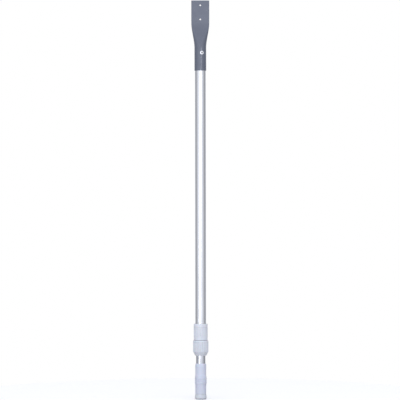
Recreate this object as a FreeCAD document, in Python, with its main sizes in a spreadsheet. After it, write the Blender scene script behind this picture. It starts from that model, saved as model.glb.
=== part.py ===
"""Telescopic extension pole, closed and locked, standing on its butt end.

Frame: origin at the centre of the butt end, +Z up the pole to the head, and the
paddle's front face looks along -Y. Sizes are in millimetres.
"""

import FreeCAD
import Part
import math
import os

import Sketcher

SHEET = "Sizes"

DIMENSIONS = {
    # whole pole
    "pole_length": 1185.0,
    # tubes
    "outer_tube_diameter": 32.0,
    "inner_tube_diameter": 28.0,
    "tube_wall": 1.2,
    "outer_tube_start": 180.0,
    "outer_tube_end": 1040.0,
    "inner_tube_start": 6.0,
    "inner_tube_end": 960.0,
    # gaps between pieces
    "running_gap": 0.06,
    "seat_gap": 0.05,
    "air_gap": 0.2,
    # small edges and how far a cut runs past what it cuts
    "edge_break": 0.8,
    "lead_in": 0.4,
    "step_rise": 1.0,
    "cut_margin": 1.0,
    # head adapter, a steel tube pressed flat at its top
    "socket_start": 976.0,
    "socket_end": 1043.0,
    "paddle_start": 1119.0,
    "socket_wall": 1.5,
    "fold_gap": 0.3,
    "round_flat": 0.1,
    "tool_hole_diameter": 4.8,
    "tool_hole_spacing": 42.0,
    "tool_hole_inset": 14.5,
    # blind rivets
    "rivet_height": 1028.8,
    "rivet_turn": 15.0,
    "rivet_hole_diameter": 4.9,
    "rivet_shank_diameter": 4.8,
    "rivet_flange_diameter": 11.5,
    "rivet_flange_rim": 0.5,
    "rivet_flange_rise": 1.5,
    "rivet_shoulder_diameter": 8.2,
    "rivet_shoulder_drop": 0.25,
    "rivet_crown_diameter": 5.4,
    "rivet_mouth_diameter": 4.6,
    "rivet_bore_diameter": 3.2,
    "rivet_mouth_depth": 1.3,
    "rivet_floor_ledge": 0.3,
    "rivet_bulb_diameter": 7.2,
    "rivet_bulb_length": 3.6,
    "rivet_bulb_bevel": 0.9,
    "mandrel_recess": 1.6,
    "mandrel_head_diameter": 4.4,
    "mandrel_head_length": 1.6,
    "mandrel_head_bevel": 0.7,
    "mandrel_tip": 0.3,
    # bump stop
    "stop_start": 998.2,
    "stop_length": 16.0,
    "stop_wall": 3.0,
    "stop_chamfer": 1.0,
    # guide plug at the inner tube's top
    "guide_head_length": 38.0,
    "guide_spigot_length": 38.0,
    "guide_vent_diameter": 9.0,
    "guide_chamfer": 1.5,
    "guide_seat_chamfer": 0.5,
    "guide_pin_height": 944.0,
    "guide_pin_diameter": 4.0,
    "guide_groove_height": 984.0,
    "guide_groove_width": 3.4,
    "guide_groove_depth": 2.2,
    "guide_ring_thickness": 2.0,
    "guide_ring_gap": 0.04,
    # collar fixed on the outer tube's lower end
    "collar_start": 176.0,
    "collar_end": 224.0,
    "collar_band_diameter": 40.8,
    "collar_rib_diameter": 41.4,
    "collar_rib_start": 187.0,
    "collar_rib_end": 212.0,
    "collar_groove_width": 4.0,
    "collar_chamfer": 1.5,
    "spigot_start": 148.6,
    "spigot_core_diameter": 37.0,
    # thread between collar and nut
    "thread_pitch": 3.0,
    "thread_depth": 0.9,
    "thread_root": 1.4,
    "thread_crest": 0.8,
    "thread_sink": 0.1,
    "thread_start": 151.0,
    "thread_length": 18.0,
    "nut_thread_start": 152.5,
    "nut_thread_length": 15.0,
    "thread_gap": 0.25,
    # lock nut
    "nut_start": 130.0,
    "nut_end": 174.9,
    "nut_diameter": 45.8,
    "nut_lip_diameter": 44.0,
    "nut_cone_start": 139.0,
    "nut_cone_diameter": 42.6,
    "nut_cone_step": 1.2,
    "nut_scallop_lead": 1.5,
    "nut_mouth_diameter": 33.0,
    "nut_floor": 6.0,
    "nut_chamber_diameter": 35.6,
    "nut_chamber_end": 147.0,
    "nut_lip_rise": 4.0,
    # ribs on the collar and nut
    "rib_count": 24.0,
    "scallop_diameter": 5.2,
    "collar_scallop_depth": 0.8,
    "nut_scallop_depth": 1.2,
    # wiper seal in the nut's mouth
    "seal_start": 131.4,
    "seal_length": 1.8,
    "seal_groove_diameter": 30.8,
    "seal_lip_foot": 0.7,
    "seal_lip_lean": 0.9,
    # rubber ring between nut and collar
    "joint_seal_length": 0.9,
    "joint_seal_diameter": 39.0,
    # thrust ring
    "thrust_length": 9.0,
    "thrust_diameter": 35.4,
    # split collet
    "collet_start": 138.5,
    "collet_length": 16.6,
    "collet_diameter": 33.0,
    "collet_nose_diameter": 30.6,
    "collet_taper": 6.0,
    "collet_slit": 1.6,
    "collet_slot_count": 4.0,
    "collet_slot_depth": 11.0,
    "cone_gap": 0.25,
    # end cap
    "cap_bead_diameter": 34.6,
    "cap_neck_diameter": 32.6,
    "cap_bead_end": 9.0,
    "cap_neck_start": 13.2,
    "cap_height": 15.7,
    "cap_round": 4.2,
    "cap_spigot_end": 42.0,
    "cap_spigot_bore": 19.0,
    "cap_floor": 4.0,
    # grip
    "grip_start": 16.1,
    "grip_end": 106.4,
    "grip_diameter": 32.2,
    "grip_band_start": 44.6,
    "grip_band_end": 68.6,
    "grip_band_diameter": 33.9,
    "grip_ridge_diameter": 35.6,
    "grip_first_ridge": 49.8,
    "grip_ridge_pitch": 5.95,
    "grip_ridge_width": 2.8,
    "grip_ridge_crest": 1.0,
    "grip_slope": 1.5,
    "grip_edge": 0.5,
    "grip_bead_diameter": 32.8,
    "grip_bead_start": 94.5,
    "grip_bead_end": 101.0,
    "grip_top_diameter": 31.4,
    "grip_shoulder": 103.4,
}

GRIP_RIDGES = 3
SECTION_STEPS = 6

# how close two lengths in mm have to be to count as the same
SAME_LENGTH = 1e-4

MM3_PER_CM3 = 1000


class Size:
    """A length that knows its number and the sheet formula that gives it."""

    def __init__(self, value, text):
        self.value = value
        self.text = text

    def __add__(self, other):
        other = as_size(other)
        return Size(self.value + other.value, f"({self.text} + {other.text})")

    def __sub__(self, other):
        other = as_size(other)
        return Size(self.value - other.value, f"({self.text} - {other.text})")

    def __mul__(self, other):
        other = as_size(other)
        return Size(self.value * other.value, f"({self.text} * {other.text})")

    def __truediv__(self, other):
        other = as_size(other)
        return Size(self.value / other.value, f"({self.text} / {other.text})")


def as_size(number):
    """A Size as it is, or a plain number as a Size."""
    if isinstance(number, Size):
        return number
    return Size(float(number), f"{float(number):.9g}")


def size(alias):
    """The driving dimension with this name in the sheet."""
    return Size(DIMENSIONS[alias], f"{SHEET}.{alias}")


def make_sheet(document):
    """The spreadsheet of driving dimensions, one row each."""
    sheet = document.addObject("Spreadsheet::Sheet", SHEET)
    for row, (alias, value) in enumerate(DIMENSIONS.items(), start=1):
        sheet.set(f"A{row}", alias)
        sheet.set(f"B{row}", f"{value}")
        sheet.setAlias(f"B{row}", alias)
    document.recompute()


def make_body(name):
    """An empty body whose label is its node's name."""
    body = document.addObject("PartDesign::Body", name)
    body.Label = name
    return body


def origin_plane(body, role):
    """One of the body's own origin planes."""
    planes = [item for item in body.Origin.OriginFeatures if item.Role == role]
    return planes[0]


def new_sketch(body, name, role, lift=None, turn=0.0):
    """A sketch on an origin plane, moved along its normal or turned about the pole's axis."""
    sketch = body.newObject("Sketcher::SketchObject", f"{body.Name}_{name}")
    sketch.AttachmentSupport = (origin_plane(body, role), [""])
    sketch.MapMode = "FlatFace"
    axis = FreeCAD.Vector(0, 0, 1) if role == "XY_Plane" else FreeCAD.Vector(0, 1, 0)
    sketch.AttachmentOffset = FreeCAD.Placement(FreeCAD.Vector(), FreeCAD.Rotation(axis, turn))
    if lift is not None:
        sketch.setExpression("AttachmentOffset.Base.z", lift.text)
    return sketch


def pin_point(sketch, line, end, across, up):
    """Holds one end of a sketch line at a distance across and up from the origin."""
    for kind, distance in (("DistanceX", across), ("DistanceY", up)):
        if abs(distance.value) < SAME_LENGTH:
            axis = -2 if kind == "DistanceX" else -1
            sketch.addConstraint(Sketcher.Constraint("PointOnObject", line, end, axis))
            continue
        index = sketch.addConstraint(
            Sketcher.Constraint(kind, -1, 1, line, end, distance.value)
        )
        sketch.setExpression(f"Constraints[{index}]", distance.text)


def draw_outline(sketch, points):
    """A closed outline of straight runs through the points, each held by the sheet."""
    points = [(as_size(across), as_size(up)) for across, up in points]
    count = len(points)
    for index in range(count):
        start = points[index]
        finish = points[(index + 1) % count]
        sketch.addGeometry(Part.LineSegment(
            FreeCAD.Vector(start[0].value, start[1].value, 0),
            FreeCAD.Vector(finish[0].value, finish[1].value, 0),
        ))
    for index in range(count):
        after = (index + 1) % count
        sketch.addConstraint(Sketcher.Constraint("Coincident", index, 2, after, 1))
    for index, (across, up) in enumerate(points):
        pin_point(sketch, index, 1, across, up)


def draw_circle(sketch, diameter, across=0.0, up=0.0):
    """A circle whose centre and diameter are held by the sheet."""
    across = as_size(across)
    up = as_size(up)
    centre = FreeCAD.Vector(across.value, up.value, 0)
    normal = FreeCAD.Vector(0, 0, 1)
    circle = sketch.addGeometry(Part.Circle(centre, normal, diameter.value / 2))
    pin_point(sketch, circle, 3, across, up)
    index = sketch.addConstraint(Sketcher.Constraint("Diameter", circle, diameter.value))
    sketch.setExpression(f"Constraints[{index}]", diameter.text)


def draw_stadium(sketch, width, thickness):
    """Two flats joined by half circles, centred on the origin."""
    radius = thickness.value / 2
    reach = width.value / 2 - radius
    normal = FreeCAD.Vector(0, 0, 1)
    right = Part.Circle(FreeCAD.Vector(reach, 0, 0), normal, radius)
    left = Part.Circle(FreeCAD.Vector(-reach, 0, 0), normal, radius)
    quarter = math.pi / 2
    sketch.addGeometry([
        Part.LineSegment(FreeCAD.Vector(-reach, -radius, 0), FreeCAD.Vector(reach, -radius, 0)),
        Part.ArcOfCircle(right, -quarter, quarter),
        Part.LineSegment(FreeCAD.Vector(reach, radius, 0), FreeCAD.Vector(-reach, radius, 0)),
        Part.ArcOfCircle(left, quarter, 3 * quarter),
    ])
    for index in range(4):
        after = (index + 1) % 4
        sketch.addConstraint(Sketcher.Constraint("Tangent", index, 2, after, 1))
    sketch.addConstraint(Sketcher.Constraint("Equal", 1, 3))
    sketch.addConstraint(Sketcher.Constraint("Symmetric", 1, 3, 3, 3, -1, 1))
    sketch.addConstraint(Sketcher.Constraint("Horizontal", 0))
    index = sketch.addConstraint(Sketcher.Constraint("Radius", 1, radius))
    sketch.setExpression(f"Constraints[{index}]", (thickness / 2).text)
    index = sketch.addConstraint(Sketcher.Constraint("DistanceX", 0, 1, 0, 2, 2 * reach))
    sketch.setExpression(f"Constraints[{index}]", (width - thickness).text)


def draw_bar(sketch, inside, outside, half_width):
    """A bar along the sketch's X axis, from one radius to another."""
    corners = [
        FreeCAD.Vector(inside.value, -half_width.value, 0),
        FreeCAD.Vector(outside.value, -half_width.value, 0),
        FreeCAD.Vector(outside.value, half_width.value, 0),
        FreeCAD.Vector(inside.value, half_width.value, 0),
    ]
    for index in range(4):
        sketch.addGeometry(Part.LineSegment(corners[index], corners[(index + 1) % 4]))
    for index in range(4):
        after = (index + 1) % 4
        sketch.addConstraint(Sketcher.Constraint("Coincident", index, 2, after, 1))
    for index, kind in enumerate(("Horizontal", "Vertical", "Horizontal")):
        sketch.addConstraint(Sketcher.Constraint(kind, index))
    sketch.addConstraint(Sketcher.Constraint("Symmetric", 3, 1, 3, 2, -1))
    for end, distance in ((1, inside), (2, outside)):
        index = sketch.addConstraint(
            Sketcher.Constraint("DistanceX", -1, 1, 0, end, distance.value)
        )
        sketch.setExpression(f"Constraints[{index}]", distance.text)
    width = half_width * 2
    index = sketch.addConstraint(Sketcher.Constraint("DistanceY", 1, 1, 1, 2, width.value))
    sketch.setExpression(f"Constraints[{index}]", width.text)


def revolve(body, name, points, kind="PartDesign::Revolution"):
    """Turns a half outline, given as radius and height, about the pole's axis."""
    sketch = new_sketch(body, f"{name}_outline", "XZ_Plane")
    draw_outline(sketch, points)
    feature = body.newObject(kind, f"{body.Name}_{name}")
    feature.Profile = (sketch, [""])
    feature.ReferenceAxis = (sketch, ["V_Axis"])
    feature.Angle = 360.0
    return feature


def ring_outline(inner, outer, start, finish):
    """The half outline of a plain ring or tube."""
    return [(inner, start), (outer, start), (outer, finish), (inner, finish)]


def helix(body, name, points, length):
    """A right-hand ridge of the thread's pitch, wound up the pole's axis."""
    sketch = new_sketch(body, f"{name}_outline", "XZ_Plane")
    draw_outline(sketch, points)
    feature = body.newObject("PartDesign::AdditiveHelix", f"{body.Name}_{name}")
    feature.Profile = (sketch, [""])
    feature.ReferenceAxis = (sketch, ["V_Axis"])
    feature.Mode = "pitch-height-angle"
    feature.setExpression("Pitch", size("thread_pitch").text)
    feature.setExpression("Height", length.text)
    return feature


def pad(body, name, sketch, length, backwards=False):
    """Extrudes a sketch by a length."""
    feature = body.newObject("PartDesign::Pad", f"{body.Name}_{name}")
    feature.Profile = (sketch, [""])
    feature.Reversed = backwards
    feature.setExpression("Length", length.text)
    return feature


def pocket(body, name, sketch, length=None, backwards=False):
    """Cuts a sketch by a length, or both ways through the whole piece."""
    feature = body.newObject("PartDesign::Pocket", f"{body.Name}_{name}")
    feature.Profile = (sketch, [""])
    feature.Reversed = backwards
    if length is None:
        feature.Type = "ThroughAll"
        feature.Midplane = True
    else:
        feature.setExpression("Length", length.text)
    return feature


def round_edge(body, name, base, radius, edge_r, height):
    """Rounds the circular edge that has this radius and height."""
    document.recompute()
    names = []
    for number, edge in enumerate(base.Shape.Edges, start=1):
        curve = edge.Curve
        if not isinstance(curve, Part.Circle):
            continue
        same_radius = abs(curve.Radius - edge_r.value) < SAME_LENGTH
        same_height = abs(curve.Center.z - height.value) < SAME_LENGTH
        if same_radius and same_height:
            names.append(f"Edge{number}")
    if len(names) != 1:
        raise RuntimeError(f"{body.Label}: {len(names)} edges match {name}")
    feature = body.newObject("PartDesign::Fillet", f"{body.Name}_{name}_round")
    feature.Base = (base, names)
    feature.setExpression("Radius", radius.text)
    return feature


def polar(body, name, feature, count):
    """Repeats a feature evenly around the pole's axis."""
    pattern = body.newObject("PartDesign::PolarPattern", f"{body.Name}_{name}")
    pattern.Originals = [feature]
    pattern.Axis = (feature.Profile[0], ["N_Axis"])
    pattern.Angle = 360.0
    pattern.setExpression("Occurrences", count.text)
    body.Tip = pattern
    return pattern


def loft(body, name, kind, sketches):
    """A smooth solid or cut through a row of sections."""
    feature = body.newObject(kind, f"{body.Name}_{name}")
    feature.Profile = (sketches[0], [""])
    feature.Sections = [(sketch, [""]) for sketch in sketches[1:]]
    feature.Ruled = False
    return feature


def cross_hole(body, name, diameter, height, turn=0.0):
    """A round hole right through, square to the axis, at a height and turned from the front."""
    sketch = new_sketch(body, f"{name}_circle", "XZ_Plane", turn=turn)
    draw_circle(sketch, diameter, 0.0, height)
    return pocket(body, name, sketch)


# Radii and fits that several pieces share

outer_tube_r = size("outer_tube_diameter") / 2
outer_bore_r = outer_tube_r - size("tube_wall")
inner_tube_r = size("inner_tube_diameter") / 2
inner_bore_r = inner_tube_r - size("tube_wall")
slide_r = inner_tube_r + size("running_gap")
guide_r = outer_bore_r - size("running_gap")
thread_r = size("spigot_core_diameter") / 2
thread_tip_r = thread_r + size("thread_depth")
pin_hole_diameter = size("guide_pin_diameter") + size("seat_gap") * 2


def make_tube(name, bore, outside):
    """A plain drawn tube, between the two heights that the sheet gives for its name."""
    body = make_body(name)
    start = size(f"{name}_start")
    finish = size(f"{name}_end")
    revolve(body, "wall", ring_outline(bore, outside, start, finish))
    return body


def make_inner_tube():
    """The thin tube that the grip is on, drilled for the guide pin."""
    body = make_tube("inner_tube", inner_bore_r, inner_tube_r)
    cross_hole(body, "pin_hole", pin_hole_diameter, size("guide_pin_height"))
    return body


def make_outer_tube():
    """The wide tube between collar and head, drilled for the two rivets."""
    body = make_tube("outer_tube", outer_bore_r, outer_tube_r)
    cross_hole(body, "rivet_hole", size("rivet_hole_diameter"), size("rivet_height"),
               DIMENSIONS["rivet_turn"])
    return body


def make_end_cap():
    """The rounded butt: a cup over the tube's end with a hollow spigot inside the tube."""
    body = make_body("end_cap")
    seat = size("seat_gap")
    floor = size("inner_tube_start") - seat
    height = size("cap_height")
    spigot_end = size("cap_spigot_end")
    spigot_bore = size("cap_spigot_bore") / 2
    neck = size("cap_neck_diameter") / 2
    bead = size("cap_bead_diameter") / 2
    shell = revolve(body, "shell", [
        (0, 0),
        (bead, 0),
        (bead, size("cap_bead_end")),
        (neck, size("cap_neck_start")),
        (neck, height),
        (inner_tube_r + seat, height),
        (inner_tube_r + seat, floor),
        (inner_bore_r - seat, floor),
        (inner_bore_r - seat, spigot_end),
        (spigot_bore, spigot_end),
        (spigot_bore, size("cap_floor")),
        (0, size("cap_floor")),
    ])
    round_edge(body, "foot", shell, size("cap_round"), bead, as_size(0))
    return body


def make_grip():
    """The sleeve that the hand holds, with a raised band of three ridges."""
    body = make_body("grip")
    bore = inner_tube_r + size("seat_gap")
    main = size("grip_diameter") / 2
    band = size("grip_band_diameter") / 2
    ridge = size("grip_ridge_diameter") / 2
    bead = size("grip_bead_diameter") / 2
    start = size("grip_band_start")
    foot_half = size("grip_ridge_width") / 2
    crest_half = size("grip_ridge_crest") / 2
    slope = size("grip_slope")
    edge = size("grip_edge")
    outline = [
        (bore, size("grip_start")),
        (main - edge, size("grip_start")),
        (main, size("grip_start") + edge),
        (main, start - slope),
        (band, start),
    ]
    for index in range(GRIP_RIDGES):
        middle = size("grip_first_ridge") + size("grip_ridge_pitch") * index
        outline.append((band, middle - foot_half))
        outline.append((ridge, middle - crest_half))
        outline.append((ridge, middle + crest_half))
        outline.append((band, middle + foot_half))
    outline += [
        (band, size("grip_band_end")),
        (main, size("grip_band_end") + slope),
        (main, size("grip_bead_start") - slope),
        (bead, size("grip_bead_start")),
        (bead, size("grip_bead_end")),
        (size("grip_top_diameter") / 2, size("grip_shoulder")),
        (bore + size("lead_in"), size("grip_end")),
        (bore, size("grip_end")),
    ]
    revolve(body, "sleeve", outline)
    return body


def make_guide_plug():
    """The plug pinned in the inner tube's top, whose head runs in the outer tube's bore."""
    body = make_body("guide_plug")
    seat = size("inner_tube_end") + size("seat_gap")
    top = seat + size("guide_head_length")
    vent = size("guide_vent_diameter") / 2
    spigot_r = inner_bore_r - size("seat_gap")
    chamfer = size("guide_chamfer")
    groove = size("guide_groove_height")
    half = size("guide_groove_width") / 2
    groove_r = guide_r - size("guide_groove_depth")
    revolve(body, "turning", [
        (vent, size("inner_tube_end") - size("guide_spigot_length")),
        (spigot_r, size("inner_tube_end") - size("guide_spigot_length")),
        (spigot_r, seat),
        (guide_r - size("guide_seat_chamfer"), seat),
        (guide_r, seat + chamfer),
        (guide_r, groove - half),
        (groove_r, groove - half),
        (groove_r, groove + half),
        (guide_r, groove + half),
        (guide_r, top - chamfer),
        (guide_r - chamfer, top),
        (vent, top),
    ])
    cross_hole(body, "pin_hole", pin_hole_diameter, size("guide_pin_height"))
    return body


def make_guide_pin():
    """The cross pin that holds the guide plug, flush with the inner tube."""
    body = make_body("guide_pin")
    sketch = new_sketch(body, "circle", "XZ_Plane")
    draw_circle(sketch, size("guide_pin_diameter"), 0.0, size("guide_pin_height"))
    feature = pad(body, "pin", sketch, (inner_tube_r - size("air_gap")) * 2)
    feature.Midplane = True
    return body


def make_guide_o_ring():
    """The rubber ring in the guide plug's groove."""
    ring = document.addObject("Part::Torus", "guide_o_ring")
    ring.Label = "guide_o_ring"
    thickness = size("guide_ring_thickness") / 2
    middle = outer_bore_r - size("guide_ring_gap") - thickness
    ring.setExpression("Radius1", middle.text)
    ring.setExpression("Radius2", thickness.text)
    ring.setExpression("Placement.Base.z", size("guide_groove_height").text)
    return ring


def make_bump_stop():
    """The cup under the head that the guide plug meets when the pole is closed."""
    body = make_body("bump_stop")
    outside = outer_bore_r - size("seat_gap")
    bore = outside - size("stop_wall")
    start = size("stop_start")
    finish = start + size("stop_length")
    chamfer = size("stop_chamfer")
    revolve(body, "cup", [
        (0, start),
        (outside - chamfer, start),
        (outside, start + chamfer),
        (outside, finish),
        (bore, finish),
        (bore, start + size("stop_wall")),
        (0, start + size("stop_wall")),
    ])
    return body


def make_scallops(body, depth, outside, start, finish):
    """Round flutes down the outside, which leave the grip ribs between them."""
    radius = size("scallop_diameter") / 2
    sketch = new_sketch(body, "scallop_circle", "XY_Plane", lift=start)
    draw_circle(sketch, size("scallop_diameter"), outside + radius - depth, 0.0)
    flute = pocket(body, "scallop", sketch, finish - start, backwards=True)
    polar(body, "scallops", flute, size("rib_count"))


def thread_outline(root_r, tip_r, foot):
    """The trapezium of one thread ridge, with its root sunk into its wall."""
    root = size("thread_root")
    crest = size("thread_crest")
    slope = (root - crest) / 2
    return [
        (root_r, foot),
        (tip_r, foot + slope),
        (tip_r, foot + slope + crest),
        (root_r, foot + root),
    ]


def make_collar():
    """The ribbed collar fixed on the outer tube, with the threaded spigot that the nut turns on."""
    body = make_body("collar_body")
    start = size("collar_start")
    seat = outer_tube_r + size("seat_gap")
    band = size("collar_band_diameter") / 2
    rib = size("collar_rib_diameter") / 2
    cone_r = size("collet_nose_diameter") / 2 + size("cone_gap")
    spigot = size("spigot_start")
    mouth_r = size("collet_diameter") / 2 + size("cone_gap")
    cone_end = size("collet_start") + size("collet_length") + size("cone_gap")
    cone_start = cone_end - size("collet_taper")
    groove_end = size("collar_rib_end") + size("collar_groove_width")
    chamfer = size("collar_chamfer")
    edge = size("edge_break")
    rise = size("step_rise")
    lead = size("lead_in")
    revolve(body, "turning", [
        (mouth_r + lead, spigot),
        (thread_r - edge, spigot),
        (thread_r, spigot + edge),
        (thread_r, start),
        (band - edge, start),
        (band, start + edge),
        (band, size("collar_rib_start") - rise),
        (rib, size("collar_rib_start")),
        (rib, size("collar_rib_end")),
        (band, size("collar_rib_end") + rise),
        (band, groove_end - rise),
        (rib, groove_end),
        (rib, size("collar_end") - chamfer),
        (rib - chamfer, size("collar_end")),
        (seat, size("collar_end")),
        (seat, size("outer_tube_start") - size("seat_gap")),
        (slide_r, size("outer_tube_start") - size("seat_gap")),
        (slide_r, cone_end),
        (cone_r, cone_end),
        (mouth_r, cone_start),
        (mouth_r, spigot + lead),
    ])
    ridge = thread_outline(thread_r - size("thread_sink"), thread_tip_r, size("thread_start"))
    helix(body, "thread", ridge, size("thread_length"))
    make_scallops(body, size("collar_scallop_depth"), rib,
                  size("collar_rib_start"), size("collar_rib_end"))
    return body


def make_lock_nut():
    """The ribbed nut: threaded above, a chamber for the thrust ring, a seal groove below."""
    body = make_body("lock_nut")
    start = size("nut_start")
    finish = size("nut_end")
    outside = size("nut_diameter") / 2
    bore = thread_tip_r + size("thread_gap")
    chamber = size("nut_chamber_diameter") / 2
    floor = start + size("nut_floor")
    neck = inner_tube_r + size("air_gap")
    groove = size("seal_groove_diameter") / 2
    seal = size("seal_start")
    seal_end = seal + size("seal_length")
    rise = size("nut_lip_rise")
    revolve(body, "turning", [
        (neck, start),
        (size("nut_mouth_diameter") / 2, start),
        (size("nut_cone_diameter") / 2, size("nut_cone_start")),
        (outside, size("nut_cone_start") + size("nut_cone_step")),
        (outside, finish - rise),
        (size("nut_lip_diameter") / 2, finish),
        (bore, finish),
        (bore, size("nut_chamber_end")),
        (chamber, size("nut_chamber_end")),
        (chamber, floor),
        (neck, floor),
        (neck, seal_end),
        (groove, seal_end),
        (groove, seal),
        (neck, seal),
    ])
    ridge = thread_outline(bore + size("thread_sink"), bore - size("thread_depth"),
                           size("nut_thread_start"))
    helix(body, "thread", ridge, size("nut_thread_length"))
    make_scallops(body, size("nut_scallop_depth"), outside,
                  size("nut_cone_start") - size("nut_scallop_lead"), finish - rise)
    return body


def make_wiper_seal():
    """The rubber lip in the nut's mouth that keeps grit off the collet."""
    body = make_body("wiper_seal")
    gap = size("running_gap")
    start = size("seal_start") + gap
    finish = start + size("seal_length") - gap * 2
    groove = size("seal_groove_diameter") / 2 - gap
    revolve(body, "lip", [
        (slide_r, start),
        (groove, start),
        (groove, finish),
        (slide_r + size("seal_lip_lean"), finish),
        (slide_r, start + size("seal_lip_foot")),
    ])
    return body


def make_joint_seal():
    """The rubber ring on the spigot between the nut and the collar."""
    body = make_body("joint_seal")
    finish = size("collar_start") - size("seat_gap")
    start = finish - size("joint_seal_length")
    outside = size("joint_seal_diameter") / 2
    inside = thread_r + size("seat_gap")
    revolve(body, "ring", ring_outline(inside, outside, start, finish))
    return body


def make_thrust_ring():
    """The wedge ring that the nut pushes up over the collet's lower cone."""
    body = make_body("thrust_ring")
    start = size("nut_start") + size("nut_floor") + size("seat_gap")
    outside = size("thrust_diameter") / 2
    finish = start + size("thrust_length")
    wide = size("collet_diameter") / 2 + size("cone_gap")
    narrow = size("collet_nose_diameter") / 2 + size("cone_gap")
    cone_foot = size("collet_start") - size("cone_gap")
    bore = inner_tube_r + size("air_gap")
    revolve(body, "turning", [
        (bore, start),
        (outside, start),
        (outside, finish),
        (wide, finish),
        (wide, cone_foot + size("collet_taper")),
        (narrow, cone_foot),
        (bore, cone_foot),
    ])
    return body


def make_split_collet():
    """The double-tapered ring, slit right through once and slotted from both ends."""
    body = make_body("split_collet")
    start = size("collet_start")
    finish = start + size("collet_length")
    nose = size("collet_nose_diameter") / 2
    outside = size("collet_diameter") / 2
    taper = size("collet_taper")
    revolve(body, "turning", [
        (slide_r, start),
        (nose, start),
        (outside, start + taper),
        (outside, finish - taper),
        (nose, finish),
        (slide_r, finish),
    ])
    half = size("collet_slit") / 2
    margin = size("cut_margin")
    inside = inner_tube_r - margin
    reach = outside + margin
    slit = new_sketch(body, "slit_outline", "XY_Plane", lift=start - margin)
    draw_bar(slit, inside, reach, half)
    pocket(body, "slit", slit, size("collet_length") + margin * 2, backwards=True)
    depth = size("collet_slot_depth")
    for name, lift, turn in (
        ("lower_slot", start - margin, 45.0),
        ("upper_slot", finish - depth, 90.0),
    ):
        sketch = new_sketch(body, f"{name}_outline", "XY_Plane", lift=lift, turn=turn)
        draw_bar(sketch, inside, reach, half)
        slot = pocket(body, name, sketch, depth + margin, backwards=True)
        polar(body, f"{name}s", slot, size("collet_slot_count"))
    return body


def head_sections(body, name, growth):
    """Stadium sketches up the head, from round at the socket to flat at the paddle.

    The wall's middle line keeps its length all the way up, as a pressed tube's does.
    growth is how much wider than the middle line the section is: the wall's thickness
    for the outside and minus that for the inside.
    """
    wall = size("socket_wall")
    round_thickness = (outer_tube_r + size("seat_gap")) * 2 + wall
    round_width = round_thickness + size("round_flat")
    slack = as_size(math.pi - 2)
    girth = round_width * 2 + round_thickness * slack
    flat_thickness = wall + size("fold_gap")
    flat_width = (girth - flat_thickness * slack) / 2
    rise = size("paddle_start") - size("socket_end")
    sketches = []
    for step in range(SECTION_STEPS + 1):
        share = step / SECTION_STEPS
        ease = share * share * (3 - 2 * share)
        width = round_width + (flat_width - round_width) * ease
        thickness = (girth - width * 2) / slack
        lift = size("socket_end") + rise * share
        sketch = new_sketch(body, f"{name}_section_{step}", "XY_Plane", lift=lift)
        draw_stadium(sketch, width + growth, thickness + growth)
        sketches.append(sketch)
    return sketches


def make_head_adapter():
    """The bracket: a steel tube, round over the pole and pressed flat for the tool's bolts."""
    body = make_body("head_adapter")
    wall = size("socket_wall")
    socket = size("socket_end") - size("socket_start")
    paddle = size("pole_length") - size("paddle_start")
    outside = head_sections(body, "outside", wall)
    pad(body, "socket", outside[0], socket, backwards=True)
    loft(body, "flare", "PartDesign::AdditiveLoft", outside)
    pad(body, "paddle", outside[-1], paddle)
    inside = head_sections(body, "inside", wall * -1)
    pocket(body, "socket_bore", inside[0], socket + size("cut_margin"))
    loft(body, "flare_hollow", "PartDesign::SubtractiveLoft", inside)
    pocket(body, "fold", inside[-1], paddle + size("cut_margin"), backwards=True)
    top_hole = size("pole_length") - size("tool_hole_inset")
    cross_hole(body, "top_hole", size("tool_hole_diameter"), top_hole)
    cross_hole(body, "low_hole", size("tool_hole_diameter"), top_hole - size("tool_hole_spacing"))
    cross_hole(body, "rivet_hole", size("rivet_hole_diameter"), size("rivet_height"),
               DIMENSIONS["rivet_turn"])
    return body


rivet_seat_r = outer_tube_r + size("seat_gap") * 2 + size("socket_wall")
bulb_top_r = outer_bore_r - size("rivet_flange_rim")
rivet_foot_r = bulb_top_r - size("rivet_bulb_length")
rivet_top = rivet_seat_r + size("rivet_flange_rise") - rivet_foot_r


def make_rivet(name):
    """A set blind rivet along +Z: its bulb at the foot, its flange and open mouth at the top."""
    body = make_body(name)
    bore = size("rivet_bore_diameter") / 2
    shank = size("rivet_shank_diameter") / 2
    bulb = size("rivet_bulb_diameter") / 2
    flange = size("rivet_flange_diameter") / 2
    mouth = size("rivet_mouth_diameter") / 2
    length = size("rivet_bulb_length")
    bevel = size("rivet_bulb_bevel")
    seat = rivet_seat_r - rivet_foot_r
    mouth_floor = rivet_top - size("rivet_mouth_depth")
    revolve(body, "turning", [
        (bore, 0),
        (bulb - bevel, 0),
        (bulb, bevel),
        (bulb, length),
        (shank, length),
        (shank, seat),
        (flange, seat),
        (flange, seat + size("rivet_flange_rim")),
        (size("rivet_shoulder_diameter") / 2, rivet_top - size("rivet_shoulder_drop")),
        (size("rivet_crown_diameter") / 2, rivet_top),
        (mouth, rivet_top),
        (bore + size("rivet_floor_ledge"), mouth_floor),
        (bore, mouth_floor),
    ])
    return body


def make_mandrel(name):
    """The stem that stays broken off inside a set blind rivet, head at the foot."""
    body = make_body(name)
    head = size("mandrel_head_diameter") / 2
    stem = size("rivet_bore_diameter") / 2 - size("seat_gap")
    seat = size("mandrel_head_length")
    bevel = size("mandrel_head_bevel")
    top = seat + rivet_top - size("mandrel_recess")
    revolve(body, "turning", [
        (0, 0),
        (head - bevel, 0),
        (head, bevel),
        (head, seat),
        (stem, seat),
        (stem, top - size("mandrel_tip")),
        (0, top),
    ])
    return body


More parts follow.
